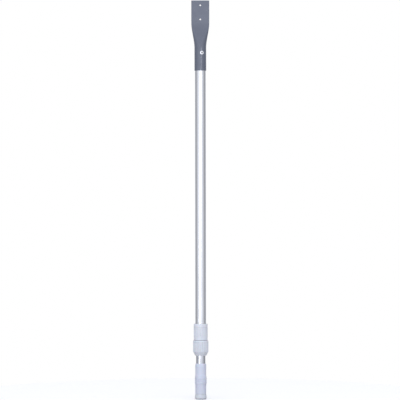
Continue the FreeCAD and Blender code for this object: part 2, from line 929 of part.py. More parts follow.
def make_pair(name, maker, foot_r):
    """Two alike pieces on opposite sides of the socket, as one node of two solids."""
    pieces = []
    for side, turn in (("front", 0.0), ("back", 180.0)):
        piece = maker(f"{name}_{side}")
        angle = math.radians(DIMENSIONS["rivet_turn"] + turn - 90.0)
        outward = FreeCAD.Vector(math.cos(angle), math.sin(angle), 0)
        base = outward * foot_r.value + FreeCAD.Vector(0, 0, DIMENSIONS["rivet_height"])
        piece.Placement = FreeCAD.Placement(
            base, FreeCAD.Rotation(FreeCAD.Vector(0, 0, 1), outward)
        )
        pieces.append(piece)
    pair = document.addObject("Part::Compound", name)
    pair.Label = name
    pair.Links = pieces
    return pair


def check_document(nodes):
    """Stops if any feature failed or any node has no sound shape."""
    for item in document.Objects:
        if "Invalid" in item.State or "Error" in item.State:
            raise RuntimeError(f"{item.Label} failed: {item.State}")
    for node in nodes:
        if node.Shape.isNull() or not node.Shape.isValid():
            raise RuntimeError(f"{node.Label} has no valid shape")
        if not node.Shape.Solids:
            raise RuntimeError(f"{node.Label} has no solid")


document = FreeCAD.newDocument("extension_pole")
make_sheet(document)
nodes = [
    make_end_cap(),
    make_grip(),
    make_inner_tube(),
    make_guide_plug(),
    make_guide_pin(),
    make_guide_o_ring(),
    make_lock_nut(),
    make_wiper_seal(),
    make_thrust_ring(),
    make_split_collet(),
    make_joint_seal(),
    make_collar(),
    make_outer_tube(),
    make_bump_stop(),
    make_head_adapter(),
    make_pair("head_rivets", make_rivet, rivet_foot_r),
    make_pair("rivet_mandrels", make_mandrel,
              rivet_foot_r - size("mandrel_head_length") - size("seat_gap")),
]
document.recompute()
check_document(nodes)
os.makedirs("parts", exist_ok=True)
for node in nodes:
    node.Shape.exportStep(f"parts/{node.Label}.step")
    solids = len(node.Shape.Solids)
    print(f"{node.Label}: {solids} solid(s), {node.Shape.Volume / MM3_PER_CM3:.2f} cm3")
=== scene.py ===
"""Looks of the telescopic extension pole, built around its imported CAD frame."""

import math

import bmesh
import bpy
import numpy as np
from mathutils import Matrix, Vector


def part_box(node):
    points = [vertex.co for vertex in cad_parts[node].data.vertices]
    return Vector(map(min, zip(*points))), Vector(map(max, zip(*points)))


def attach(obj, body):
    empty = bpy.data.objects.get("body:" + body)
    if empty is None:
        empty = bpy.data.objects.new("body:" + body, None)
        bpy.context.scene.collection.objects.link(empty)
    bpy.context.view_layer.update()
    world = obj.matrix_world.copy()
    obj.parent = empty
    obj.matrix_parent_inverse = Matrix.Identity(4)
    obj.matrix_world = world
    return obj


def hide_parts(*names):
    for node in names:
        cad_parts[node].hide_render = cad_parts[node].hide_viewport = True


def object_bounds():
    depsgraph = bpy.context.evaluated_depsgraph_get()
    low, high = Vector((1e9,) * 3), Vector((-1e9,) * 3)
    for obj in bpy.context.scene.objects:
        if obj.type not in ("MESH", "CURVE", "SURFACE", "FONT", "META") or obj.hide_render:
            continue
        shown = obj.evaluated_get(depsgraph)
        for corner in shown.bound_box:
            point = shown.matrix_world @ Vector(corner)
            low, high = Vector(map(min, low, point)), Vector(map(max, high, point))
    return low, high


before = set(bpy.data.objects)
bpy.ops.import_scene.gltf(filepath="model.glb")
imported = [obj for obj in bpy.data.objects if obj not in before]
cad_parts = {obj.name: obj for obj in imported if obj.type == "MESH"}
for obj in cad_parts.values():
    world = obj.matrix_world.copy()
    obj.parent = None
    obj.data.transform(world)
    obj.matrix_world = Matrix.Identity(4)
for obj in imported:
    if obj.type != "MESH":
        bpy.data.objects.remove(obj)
cad_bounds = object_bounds()

MM = 0.001

# How finely round shapes are divided
SEGMENTS = 256
RIB_SEGMENTS = 576
RIVET_SEGMENTS = 96
DRILL_SEGMENTS = 64
THREAD_STEPS = 128
ARC_STEPS = 5

# Limits of the mesh code, in millimetres, shares of a run and bends per millimetre
# unless the name says otherwise
LONG_RUN = 3.0
BRACE = 0.3
ROUNDING_SHARE = 0.45
LEVEL_RISE = 1e-9
SAME_SHARE = 1e-4
SHORTEST_EDGE_SQUARED = 1e-6
MERGE_METRES = 1e-7
CURVE_LIMIT = 3.0
SHARP_ANGLE = math.radians(38)

# Sizes in millimetres and degrees that the pieces share
TUBE_WALL = 1.2
SEAT_GAP = 0.05
SLIDE_GAP = 0.06
AIR_GAP = 0.2
THREAD_PITCH = 3.0
THREAD_ROOT = 1.4
THREAD_CREST = 0.8
THREAD_DEPTH = 0.9
THREAD_SINK = 0.15
CONE_GAP = 0.25
SPIGOT_CORE = 18.5
RIB_COUNT = 24
SCALLOP_RADIUS = 2.6
RUN_OUT = 1.6
ROW_STEP = 0.2
DRILL_EDGE = 0.35
RIVET_HEIGHT = 1028.8
RIVET_TURN = 15.0
RIVET_HOLE_RADIUS = 2.45


# ---------------------------------------------------------------- measures

def extent(node):
    """A round node's outer radius, foot and top, in millimetres."""
    low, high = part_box(node)
    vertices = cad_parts[node].data.vertices
    radius = max(math.hypot(v.co.x, v.co.y) for v in vertices)
    return radius / MM, low.z / MM, high.z / MM


def smooth_step(value):
    """Eases from 0 to 1, flat at both ends."""
    value = np.clip(value, 0.0, 1.0)
    return value * value * (3 - 2 * value)


def soft_min(first, second, blend):
    """The smaller of two lengths, with the corner between them rounded off."""
    overlap = np.maximum(blend - np.abs(first - second), 0.0) / blend
    return np.minimum(first, second) - overlap * overlap * blend / 4


# ---------------------------------------------------------------- mesh building

def braced(points, closed):
    """The outline with a point near both ends of each long straight run, so it shades flat."""
    result = []
    count = len(points)
    for index, here in enumerate(points):
        result.append(here)
        if not closed and index == count - 1:
            break
        run = points[(index + 1) % count] - here
        if run.length > LONG_RUN:
            result.append(here + run * (BRACE / run.length))
            result.append(here + run * (1 - BRACE / run.length))
    return result


def rounded(corners, closed=True):
    """The points of an outline whose corners, (radius, height, rounding), are arcs."""
    points = []
    last = len(corners) - 1
    for index, (across, up, bend) in enumerate(corners):
        here = Vector((across, up))
        if bend == 0 or (not closed and index in (0, last)):
            points.append(here)
            continue
        before = Vector(corners[index - 1][:2]) - here
        after = Vector(corners[(index + 1) % len(corners)][:2]) - here
        half = before.angle(after) / 2
        reach = min(bend / math.tan(half), ROUNDING_SHARE * before.length,
                    ROUNDING_SHARE * after.length)
        bend = reach * math.tan(half)
        before.normalize()
        after.normalize()
        centre = here + (before + after).normalized() * (bend / math.sin(half))
        start = here + before * reach - centre
        finish = here + after * reach - centre
        sweep = start.angle_signed(finish)
        for step in range(ARC_STEPS + 1):
            turned = start.copy()
            turned.rotate(Matrix.Rotation(-sweep * step / ARC_STEPS, 2))
            points.append(centre + turned)
    return np.array([tuple(point) for point in braced(points, closed)])


def with_levels(outline, levels, closed=True):
    """The outline with a point added wherever it crosses one of the heights."""
    points = []
    count = len(outline)
    for index in range(count if closed else count - 1):
        here = outline[index]
        after = outline[(index + 1) % count]
        points.append(here)
        rise = after[1] - here[1]
        if abs(rise) < LEVEL_RISE:
            continue
        shares = [(level - here[1]) / rise for level in levels]
        for share in sorted(s for s in shares if SAME_SHARE < s < 1 - SAME_SHARE):
            points.append(here + (after - here) * share)
    if not closed:
        points.append(outline[-1])
    return np.array(points)


def new_piece(name, vertices, faces):
    """A closed mesh object from vertices in millimetres, with outward faces."""
    mesh = bpy.data.meshes.new(name)
    mesh.from_pydata((np.asarray(vertices) * MM).tolist(), [], faces)
    work = bmesh.new()
    work.from_mesh(mesh)
    bmesh.ops.remove_doubles(work, verts=work.verts, dist=MERGE_METRES)
    bmesh.ops.recalc_face_normals(work, faces=work.faces)
    work.to_mesh(mesh)
    work.free()
    piece = bpy.data.objects.new(name, mesh)
    bpy.context.scene.collection.objects.link(piece)
    return piece


def grid_faces(rows, columns, closed):
    """Quads between neighbouring rows of a grid whose columns close on themselves."""
    faces = []
    for row in range(rows if closed else rows - 1):
        low = row * columns
        high = (row + 1) % rows * columns
        for column in range(columns):
            side = (column + 1) % columns
            faces.append((low + column, low + side, high + side, high + column))
    return faces


def lathe(name, outline, closed=True, segments=SEGMENTS, shape=None):
    """Turns an outline about the Z axis; shape may change the radius with angle and height."""
    angles = np.linspace(0, 2 * math.pi, segments, endpoint=False)[None, :]
    radius = np.repeat(outline[:, :1], segments, axis=1)
    height = np.repeat(outline[:, 1:2], segments, axis=1)
    if shape is not None:
        radius = shape(radius, height, angles)
    vertices = np.stack([radius * np.cos(angles), radius * np.sin(angles), height], axis=-1)
    faces = grid_faces(len(outline), segments, closed)
    return new_piece(name, vertices.reshape(-1, 3), faces)


def combine(piece, tool, operation):
    """Cuts a tool from a piece or joins it on, and removes the tool."""
    modifier = piece.modifiers.new("combine", "BOOLEAN")
    modifier.operation = operation
    modifier.solver = "EXACT"
    modifier.object = tool
    bpy.context.view_layer.update()
    evaluated = piece.evaluated_get(bpy.context.evaluated_depsgraph_get())
    mesh = bpy.data.meshes.new_from_object(evaluated)
    piece.modifiers.clear()
    old = piece.data
    piece.data = mesh
    bpy.data.meshes.remove(old)
    bpy.data.meshes.remove(tool.data)


def cross_frame(height, turn):
    """Turns local +Z to point straight out of the pole at a height and an angle from the front."""
    angle = math.radians(turn - 90)
    outward = Vector((math.cos(angle), math.sin(angle), 0))
    spin = outward.to_track_quat("Z", "Y").to_matrix().to_4x4()
    return Matrix.Translation((0, 0, height * MM)) @ spin


def drill(piece, height, radius, turn, face=None):
    """A hole right through the pole, with broken edges on flat faces this far off the axis."""
    reach = 40.0
    outline = [(0, -reach), (radius, -reach), (radius, reach), (0, reach)]
    if face is not None:
        clear = 2.0
        wide = radius + DRILL_EDGE + clear
        outline = [
            (0, -face - clear), (wide, -face - clear), (radius, -face + DRILL_EDGE),
            (radius, face - DRILL_EDGE), (wide, face + clear), (0, face + clear),
        ]
    cutter = lathe("cutter", np.array(outline, float), closed=False, segments=DRILL_SEGMENTS)
    cutter.data.transform(cross_frame(height, turn))
    combine(piece, cutter, "DIFFERENCE")


def thread_ridge(root_radius, tip_radius, foot, turns):
    """A right-hand trapezium ridge wound up the axis, fading in and out at its ends."""
    fade = 0.12
    least = 0.3
    count = int(turns * THREAD_STEPS)
    slope = (THREAD_ROOT - THREAD_CREST) / 2
    vertices = []
    faces = []
    for step in range(count + 1):
        done = step / THREAD_STEPS
        share = float(smooth_step(min(done, turns - done) / fade))
        tip = root_radius + (tip_radius - root_radius) * (least + (1 - least) * share)
        angle = 2 * math.pi * done
        low = foot + THREAD_PITCH * done
        section = [
            (root_radius, low),
            (tip, low + slope),
            (tip, low + slope + THREAD_CREST),
            (root_radius, low + THREAD_ROOT),
        ]
        for radius, height in section:
            vertices.append((radius * math.cos(angle), radius * math.sin(angle), height))
        if step == 0:
            faces.append((0, 1, 2, 3))
            continue
        base = step * 4
        for side in range(4):
            after = (side + 1) % 4
            faces.append((base - 4 + side, base - 4 + after, base + after, base + side))
    base = count * 4
    faces.append((base + 3, base + 2, base + 1, base))
    return new_piece("ridge", vertices, faces)


def parting_line(radius, angles, seam, width):
    """How far the line that a mould leaves down both sides of a piece stands out."""
    return seam * np.exp(-(radius * np.sin(angles) / width) ** 2)


def scalloped(outside, depth, start, finish, seam):
    """A shape for lathe: round flutes between two heights, and a fine parting line."""
    centre = outside + SCALLOP_RADIUS - depth
    pitch = 2 * math.pi / RIB_COUNT
    fade = 1.2
    lift = depth + 0.6
    blend = 0.18
    line_width = 0.16
    skin = 3.0

    def shape(radius, height, angles):
        offset = (angles + pitch / 2) % pitch - pitch / 2
        reach = np.maximum(SCALLOP_RADIUS ** 2 - (centre * np.sin(offset)) ** 2, 0.0)
        flute = centre * np.cos(offset) - np.sqrt(reach)
        low_end = smooth_step((height - start) / fade)
        high_end = smooth_step((finish - height) / fade)
        flute = flute + (1 - low_end * high_end) * lift
        fluted = soft_min(radius, flute, blend)
        line = parting_line(radius, angles, seam, line_width)
        return np.where(radius > outside - skin, fluted + line, radius)

    return shape


def parted(outside):
    """A shape for lathe: a fine parting line down both sides of the outer skin."""
    seam = 0.05
    line_width = 0.2
    skin = 2.5

    def shape(radius, height, angles):
        line = parting_line(radius, angles, seam, line_width)
        return np.where(radius > outside - skin, radius + line, radius)

    return shape


def mark_curves(piece):
    """Stores each vertex's bend per millimetre, + where convex and - where hollow."""
    mesh = piece.data
    count = len(mesh.vertices)
    places = np.zeros(count * 3)
    mesh.vertices.foreach_get("co", places)
    places = places.reshape(-1, 3)
    normals = np.zeros(count * 3)
    mesh.vertices.foreach_get("normal", normals)
    normals = normals.reshape(-1, 3)
    pairs = np.zeros(len(mesh.edges) * 2, int)
    mesh.edges.foreach_get("vertices", pairs)
    first, second = pairs.reshape(-1, 2).T
    along = (places[first] - places[second]) / MM
    reach = np.maximum((along ** 2).sum(axis=1), SHORTEST_EDGE_SQUARED)
    total = np.zeros(count)
    edges = np.zeros(count)
    for here, way in ((first, along), (second, -along)):
        np.add.at(total, here, 2 * (normals[here] * way).sum(axis=1) / reach)
        np.add.at(edges, here, 1.0)
    curve = np.clip(2 * total / np.maximum(edges, 1.0), -CURVE_LIMIT, CURVE_LIMIT)
    attribute = mesh.attributes.new("curve", "FLOAT", "POINT")
    attribute.data.foreach_set("value", curve.astype(np.float32))


def finish_piece(piece, body, slot, material, *nodes):
    """Smooths a piece's shading, gives it its material and ties it to the frame."""
    mesh = piece.data
    mesh.shade_smooth()
    mesh.set_sharp_from_angle(angle=SHARP_ANGLE)
    mark_curves(piece)
    mesh.materials.clear()
    mesh.materials.append(material)
    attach(piece, body)
    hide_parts(*nodes)


# ---------------------------------------------------------------- materials

class Graph:
    """Shorthand for one material's nodes."""

    def __init__(self, name):
        self.material = bpy.data.materials.new(name)
        self.material.use_nodes = True
        self.tree = self.material.node_tree
        self.shader = self.tree.nodes["Principled BSDF"]
        self.place = self.add("ShaderNodeTexCoord").outputs["Object"]
        self.curve = self.add("ShaderNodeAttribute", attribute_name="curve").outputs["Fac"]

    def add(self, kind, inputs=None, **settings):
        """A node with its settings, and its inputs given as values or other nodes' outputs."""
        node = self.tree.nodes.new(kind)
        for key, value in settings.items():
            setattr(node, key, value)
        for key, value in (inputs or {}).items():
            self.put(node.inputs[key], value)
        return node

    def put(self, socket, value):
        """Links an output to a socket, or sets the socket's value."""
        if isinstance(value, bpy.types.NodeSocket):
            self.tree.links.new(value, socket)
        else:
            socket.default_value = value

    def noise(self, size_mm, stretch=(1, 1, 1), detail=3.0, roughness=0.55):
        """Noise whose features are about this large; stretch lengthens them along each axis."""
        scale = [1 / (MM * size_mm * along) for along in stretch]
        vector = self.add("ShaderNodeVectorMath", {0: self.place, 1: scale},
                          operation="MULTIPLY").outputs["Vector"]
        inputs = {"Vector": vector, "Scale": 1.0, "Detail": detail, "Roughness": roughness}
        return self.add("ShaderNodeTexNoise", inputs).outputs["Fac"]

    def math(self, operation, first, second):
        """One arithmetic step."""
        return self.add("ShaderNodeMath", {0: first, 1: second},
                        operation=operation).outputs["Value"]

    def between(self, value, low, high, start=0.0, finish=1.0):
        """Eases a value from start to finish as it goes from low to high."""
        inputs = {"Value": value, "From Min": low, "From Max": high,
                  "To Min": start, "To Max": finish}
        return self.add("ShaderNodeMapRange", inputs,
                        interpolation_type="SMOOTHSTEP").outputs["Result"]

    def mix(self, share, first, second):
        """A colour between two colours."""
        node = self.add("ShaderNodeMix", data_type="RGBA")
        self.put(node.inputs[0], share)
        for socket, value in ((node.inputs[6], first), (node.inputs[7], second)):
            self.put(socket, value if isinstance(value, bpy.types.NodeSocket) else (*value, 1.0))
        return node.outputs[2]

    def bumps(self, *layers):
        """Stacks bump layers, each (height, depth in millimetres)."""
        normal = None
        for height, depth in layers:
            inputs = {"Height": height, "Distance": depth * MM, "Strength": 1.0}
            if normal is not None:
                inputs["Normal"] = normal
            normal = self.add("ShaderNodeBump", inputs).outputs["Normal"]
        self.put(self.shader.inputs["Normal"], normal)

    def finish(self, **inputs):
        """Sets the shader's inputs by name, with underscores for spaces."""
        for key, value in inputs.items():
            self.put(self.shader.inputs[key.replace("_", " ")], value)
        return self.material


def moulded_plastic(name, colour, shade, shade_and_grime, base_roughness, shade_by_curve, most):
    """Injection-moulded plastic: an eroded skin and flow marks.

    A painted shade, mixed with speckled dirt, darkens the hollows if the curve weight is below 0,
    or the crests if it is above; most is how much of the colour it hides where it is darkest.
    """
    graph = Graph(name)
    edge_share = 0.4
    speckle_share = 0.3
    cloud = graph.noise(18.0, detail=2.0)
    tone = graph.mix(graph.between(cloud, 0.3, 0.7), colour, shade)
    speckle = graph.noise(1.6, detail=4.0)
    # Painted shade: darkening that follows the surface's bend, into hollows or onto crests, with a
    # speckle of dirt mixed in
    shade_and_speckle = graph.math("ADD", graph.math("MULTIPLY", graph.curve, shade_by_curve), speckle)
    shade_and_dirt = graph.between(shade_and_speckle, 0.62, 1.2, 0.0, most)
    rubbed = graph.noise(6.0, (1, 1, 2.5), detail=5.0)
    film = graph.between(rubbed, 0.58, 0.82, 0.0, 0.10)
    shade_and_film = graph.math("MAXIMUM", shade_and_dirt, film)
    base = graph.mix(shade_and_film, tone, shade_and_grime)
    rubbing = graph.math("ADD", graph.math("MULTIPLY", graph.curve, edge_share),
                         graph.math("MULTIPLY", speckle, speckle_share))
    worn = graph.between(rubbing, 0.5, 0.9, 0.0, -0.12)
    patches = graph.between(rubbed, 0.3, 0.75, base_roughness - 0.05, base_roughness + 0.08)
    gloss = graph.math("ADD", patches, worn)
    skin = graph.noise(0.28, detail=2.0)
    flow = graph.noise(7.0, (1, 1, 3), detail=1.0)
    graph.bumps((flow, 0.05), (skin, 0.012))
    return graph.finish(Base_Color=base, Roughness=gloss, IOR=1.49,
                        Subsurface_Weight=0.06, Subsurface_Scale=0.002)


def drawn_aluminium(name, colour, stain, base_roughness):
    """Drawn tube: die lines along the length, sliding scratches and dull handled patches."""
    graph = Graph(name)
    line_depth = 0.004
    least_roughness = 0.08
    lines = graph.noise(0.22, (1, 1, 420), detail=4.0, roughness=0.6)
    bands = graph.noise(2.4, (1, 1, 60), detail=2.0)
    handled = graph.noise(30.0, (1, 1, 2.2), detail=5.0, roughness=0.6)
    spots = graph.noise(1.1, detail=6.0, roughness=0.7)
    scratch = graph.noise(0.5, (1, 1, 90), detail=1.0)
    long_scratch = graph.between(scratch, 0.73, 0.76, 0.0, 0.12)
    tone = graph.mix(graph.between(bands, 0.3, 0.7, 0.0, 0.35), colour, stain)
    pitted = graph.between(spots, 0.70, 0.80, 0.0, 0.30)
    base = graph.mix(pitted, tone, stain)
    dull = graph.between(handled, 0.40, 0.75, base_roughness, base_roughness + 0.14)
    grain = graph.between(lines, 0.25, 0.75, -0.05, 0.06)
    rough = graph.math("ADD", graph.math("ADD", dull, grain), long_scratch)
    worn = graph.between(graph.curve, 0.8, 2.5, 0.0, -0.10)
    rough = graph.math("MAXIMUM", graph.math("ADD", rough, worn), least_roughness)
    graph.bumps((lines, line_depth), (bands, line_depth * 2), (scratch, line_depth))
    tangent = graph.add("ShaderNodeTangent", direction_type="RADIAL", axis="Z")
    return graph.finish(Base_Color=base, Metallic=1.0, Roughness=rough, Anisotropic=0.45,
                        Anisotropic_Rotation=0.25, Tangent=tangent.outputs["Tangent"])


def powder_coat(name, colour, shade, bare):
    """Glossy grey coat on steel: orange peel, fine speckle, bare metal on rubbed edges."""
    graph = Graph(name)
    speckle_gain = 1.8
    edge_share = 0.11
    bare_metal = 0.9
    cloud = graph.noise(22.0, detail=3.0)
    tone = graph.mix(graph.between(cloud, 0.3, 0.7, 0.0, 0.6), colour, shade)
    speckle = graph.noise(0.45, detail=3.0)
    tone = graph.mix(graph.between(speckle, 0.55, 0.75, 0.0, 0.25), tone,
                     tuple(channel * speckle_gain for channel in colour))
    chips = graph.noise(2.2, detail=7.0, roughness=0.65)
    edge = graph.math("ADD", graph.math("MULTIPLY", graph.curve, edge_share), chips)
    wear = graph.between(edge, 0.84, 0.90)
    scuffs = graph.noise(0.6, (9, 1, 1), detail=3.0)
    scuff = graph.between(scuffs, 0.70, 0.74, 0.0, 0.35)
    worn = graph.math("MAXIMUM", wear, scuff)
    base = graph.mix(worn, tone, bare)
    peel = graph.noise(1.3, detail=1.5)
    fine = graph.noise(0.35, detail=2.0)
    rough = graph.between(cloud, 0.3, 0.7, 0.36, 0.46)
    graph.bumps((wear, -0.05), (peel, 0.045), (fine, 0.008))
    return graph.finish(Base_Color=base, Metallic=graph.math("MULTIPLY", worn, bare_metal),
                        Roughness=rough, Coat_Weight=0.8, Coat_Roughness=0.06)


def turned_metal(name, colour, stain):
    """Set metal: faint mottling, small pits, polished edges, and painted shade mixed with dirt
    that darkens the deep hollows nearly to black.
    """
    graph = Graph(name)
    base_roughness = 0.42
    least_roughness = 0.1
    black_shade_and_dirt = (0.05, 0.045, 0.04)
    mottle = graph.noise(1.4, detail=5.0, roughness=0.6)
    pits = graph.noise(0.3, detail=4.0)
    base = graph.mix(graph.between(mottle, 0.45, 0.75, 0.0, 0.6), colour, stain)
    rough = graph.between(mottle, 0.3, 0.7, base_roughness - 0.05, base_roughness + 0.12)
    worn = graph.between(graph.curve, 0.5, 2.0, 0.0, -0.08)
    # Painted shade mixed with dirt: the deep hollows, such as the rivets' mouths, darken nearly to
    # black
    shade_and_dirt = graph.between(graph.curve, -0.1, -0.9, 0.0, 0.9)
    base = graph.mix(shade_and_dirt, base, black_shade_and_dirt)
    graph.bumps((mottle, 0.02), (pits, 0.006))
    rough = graph.math("MAXIMUM", graph.math("ADD", rough, worn), least_roughness)
    return graph.finish(Base_Color=base, Metallic=1.0, Roughness=rough)


def dull_polymer(name, colour, dust, base_roughness, grain):
    """Rubber or nylon: a matt grained skin with dust caught in it."""
    graph = Graph(name)
    mottle = graph.noise(3.0, detail=5.0, roughness=0.6)
    base = graph.mix(graph.between(mottle, 0.45, 0.80, 0.0, 0.45), colour, dust)
    rough = graph.between(mottle, 0.3, 0.7, base_roughness, base_roughness + 0.12)
    skin = graph.noise(0.3, detail=3.0)
    graph.bumps((mottle, grain * 2), (skin, grain))
    return graph.finish(Base_Color=base, Roughness=rough)


# The white plastic darkens in its hollows, such as the flutes of the nut and collar: painted shade
# mixed with dirt
WHITE_PLASTIC = moulded_plastic(
    "white_plastic", colour=(0.76, 0.79, 0.85), shade=(0.72, 0.75, 0.82),
    shade_and_grime=(0.42, 0.41, 0.39), base_roughness=0.38, shade_by_curve=-1.2, most=0.26)
# The grip darkens on its ridges' crests: painted shade standing for the dark lines across the
# ridged band
GRIP_PLASTIC = moulded_plastic(
    "grip_plastic", colour=(0.73, 0.765, 0.89), shade=(0.70, 0.735, 0.86),
    shade_and_grime=(0.38, 0.37, 0.36), base_roughness=0.44, shade_by_curve=1.4, most=0.08)
SATIN_ALUMINIUM = drawn_aluminium(
    "satin_aluminium", colour=(0.70, 0.71, 0.73), stain=(0.60, 0.61, 0.63), base_roughness=0.28)
# The inner tube's aluminium is darker than the outer tube's: partly its own smoother finish,
# partly painted shade from the nut and grip close round it
BRIGHT_ALUMINIUM = drawn_aluminium(
    "bright_aluminium", colour=(0.57, 0.58, 0.61), stain=(0.48, 0.49, 0.52), base_roughness=0.11)
GREY_COAT = powder_coat(
    "grey_coated_steel", colour=(0.091, 0.105, 0.145), shade=(0.078, 0.090, 0.127),
    bare=(0.50, 0.50, 0.51))
RIVET_ALUMINIUM = turned_metal(
    "rivet_aluminium", colour=(0.78, 0.79, 0.81), stain=(0.62, 0.62, 0.65))
# The rivet stems' steel is nearly black: partly its own colour, partly painted shade down the
# rivets' mouths
STEEL_DARKENED_AS_SHADE = turned_metal("steel", colour=(0.12, 0.12, 0.125), stain=(0.09, 0.075, 0.065))
RUBBER = dull_polymer(
    "rubber", colour=(0.018, 0.018, 0.020), dust=(0.075, 0.072, 0.068),
    base_roughness=0.62, grain=0.02)
# The joint ring's grey is set to the dark line between nut and collar: partly the ring's own
# colour, partly painted shadow in the gap
GREY_RUBBER_SHADE_LINE = dull_polymer(
    "grey_rubber", colour=(0.28, 0.29, 0.31), dust=(0.24, 0.235, 0.225),
    base_roughness=0.58, grain=0.02)
DARK_NYLON = dull_polymer(
    "dark_nylon", colour=(0.045, 0.046, 0.050), dust=(0.11, 0.108, 0.10),
    base_roughness=0.45, grain=0.01)
NATURAL_NYLON = dull_polymer(
    "natural_nylon", colour=(0.66, 0.64, 0.57), dust=(0.50, 0.47, 0.40),
    base_roughness=0.42, grain=0.01)


# ---------------------------------------------------------------- tubes

def tube(name, node, body, slot, material, holes):
    """A drawn tube with broken edges, drilled through at each (height, radius, turn)."""
    radius, foot, top = extent(node)
    edge = 0.25
    outline = rounded([
        (radius - TUBE_WALL, foot, edge),
        (radius, foot, edge),
        (radius, top, edge),
        (radius - TUBE_WALL, top, edge),
    ])
    piece = lathe(name, outline)
    for height, hole_radius, turn in holes:
        drill(piece, height, hole_radius, turn)
    finish_piece(piece, body, slot, material, node)


GUIDE_PIN_LOW, GUIDE_PIN_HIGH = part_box("guide_pin")
GUIDE_PIN_HEIGHT = (GUIDE_PIN_LOW.z + GUIDE_PIN_HIGH.z) / 2 / MM
GUIDE_HOLE_RADIUS = (GUIDE_PIN_HIGH.z - GUIDE_PIN_LOW.z) / 2 / MM + SEAT_GAP

tube("inner_tube_drawn", "inner_tube", "handle_section", "bright_aluminium",
     BRIGHT_ALUMINIUM, [(GUIDE_PIN_HEIGHT, GUIDE_HOLE_RADIUS, 0.0)])
tube("outer_tube_drawn", "outer_tube", "outer_section", "satin_aluminium",
     SATIN_ALUMINIUM, [(RIVET_HEIGHT, RIVET_HOLE_RADIUS, RIVET_TURN)])

INNER_RADIUS = extent("inner_tube")[0]
OUTER_RADIUS = extent("outer_tube")[0]


# ---------------------------------------------------------------- butt end

def make_end_cap():
    """The rounded cup over the tube's end, with its hollow spigot inside the tube."""
    bead, foot, spigot_end = extent("end_cap")
    tube_seat = extent("inner_tube")[1] - SEAT_GAP
    bead_end = 9.0
    neck_start = 13.2
    neck = bead - 1.0
    height = 15.7
    floor = 4.0
    pocket = INNER_RADIUS + SEAT_GAP
    spigot = INNER_RADIUS - TUBE_WALL - SEAT_GAP
    bore = 9.5
    outline = rounded([
        (0, foot, 0),
        (bead, foot, 4.2),
        (bead, bead_end, 1.6),
        (neck, neck_start, 1.2),
        (neck, height, 0.8),
        (pocket, height, 0.15),
        (pocket, tube_seat, 0),
        (spigot, tube_seat, 0),
        (spigot, spigot_end, 0.8),
        (bore, spigot_end, 0.5),
        (bore, floor, 0.8),
        (0, floor, 0),
    ], closed=False)
    piece = lathe("end_cap_moulded", outline, closed=False, shape=parted(bead))
    finish_piece(piece, "handle_section", "white_plastic", WHITE_PLASTIC, "end_cap")


def make_grip():
    """The hand's sleeve: a raised band with three ridges, a bead and a rounded shoulder."""
    ridge, foot, top = extent("grip")
    bore = INNER_RADIUS + SEAT_GAP
    main = 16.1
    band = 16.95
    bead = 16.4
    band_start = 44.6
    band_end = 68.6
    slope = 1.5
    ridge_count = 3
    first_ridge = 49.8
    ridge_pitch = 5.95
    foot_half = 1.4
    crest_half = 0.5
    bead_start = 94.5
    bead_end = 101.0
    shoulder = 15.7
    shoulder_height = 103.4
    edge = 0.5
    lead_in = 0.4
    corners = [
        (bore, foot, 0.15),
        (main - edge, foot, 0.3),
        (main, foot + edge, 0.3),
        (main, band_start - slope, 1.5),
        (band, band_start, 1.0),
    ]
    for index in range(ridge_count):
        middle = first_ridge + ridge_pitch * index
        corners += [
            (band, middle - foot_half, 0.5),
            (ridge, middle - crest_half, 0.9),
            (ridge, middle + crest_half, 0.9),
            (band, middle + foot_half, 0.5),
        ]
    corners += [
        (band, band_end, 1.0),
        (main, band_end + slope, 1.5),
        (main, bead_start - slope, 1.5),
        (bead, bead_start, 1.2),
        (bead, bead_end, 1.5),
        (shoulder, shoulder_height, 0.8),
        (bore + lead_in, top, 0.2),
        (bore, top, 0.15),
    ]
    piece = lathe("grip_moulded", rounded(corners), shape=parted(main))
    finish_piece(piece, "handle_section", "white_plastic", GRIP_PLASTIC, "grip")


make_end_cap()
make_grip()


# ---------------------------------------------------------------- lock

def make_lock_nut():
    """The ribbed nut with its coned mouth, inner thread and seal groove."""
    outside, foot, top = extent("lock_nut")
    mouth = 16.5
    cone = 21.3
    cone_start = foot + 9.0
    cone_end = cone_start + 1.2
    flute_start = cone_start - 1.5
    cone_row_step = 0.12
    lip = 22.0
    lip_start = top - 4.0
    floor = foot + 6.0
    chamber = 17.8
    chamber_end = foot + 17.0
    neck = INNER_RADIUS + AIR_GAP
    seal_radius, seal_foot, seal_top = extent("wiper_seal")
    groove = seal_radius + SLIDE_GAP
    bore = 19.65
    thread_start = foot + 22.5
    thread_turns = 5.0
    outline = rounded([
        (neck, foot, 0.3),
        (mouth, foot, 0.8),
        (cone, cone_start, 0.8),
        (outside, cone_end, 0.5),
        (outside, lip_start, 0.8),
        (lip, top, 0.5),
        (bore, top, 0.3),
        (bore, chamber_end, 0),
        (chamber, chamber_end, 0.2),
        (chamber, floor, 0.3),
        (neck, floor, 0.2),
        (neck, seal_top + SLIDE_GAP, 0.1),
        (groove, seal_top + SLIDE_GAP, 0),
        (groove, seal_foot - SLIDE_GAP, 0),
        (neck, seal_foot - SLIDE_GAP, 0.1),
    ])
    low_end = np.arange(cone_start - 0.4, cone_end + 0.6, cone_row_step)
    high_end = np.arange(lip_start - RUN_OUT, lip_start + ROW_STEP, ROW_STEP)
    outline = with_levels(outline, np.concatenate([low_end, high_end]))
    shape = scalloped(outside, depth=1.2, start=flute_start, finish=lip_start, seam=0.05)
    piece = lathe("lock_nut_moulded", outline, segments=RIB_SEGMENTS, shape=shape)
    ridge = thread_ridge(bore + THREAD_SINK, bore - THREAD_DEPTH, thread_start, thread_turns)
    combine(piece, ridge, "UNION")
    finish_piece(piece, "nut", "white_plastic", WHITE_PLASTIC, "lock_nut")


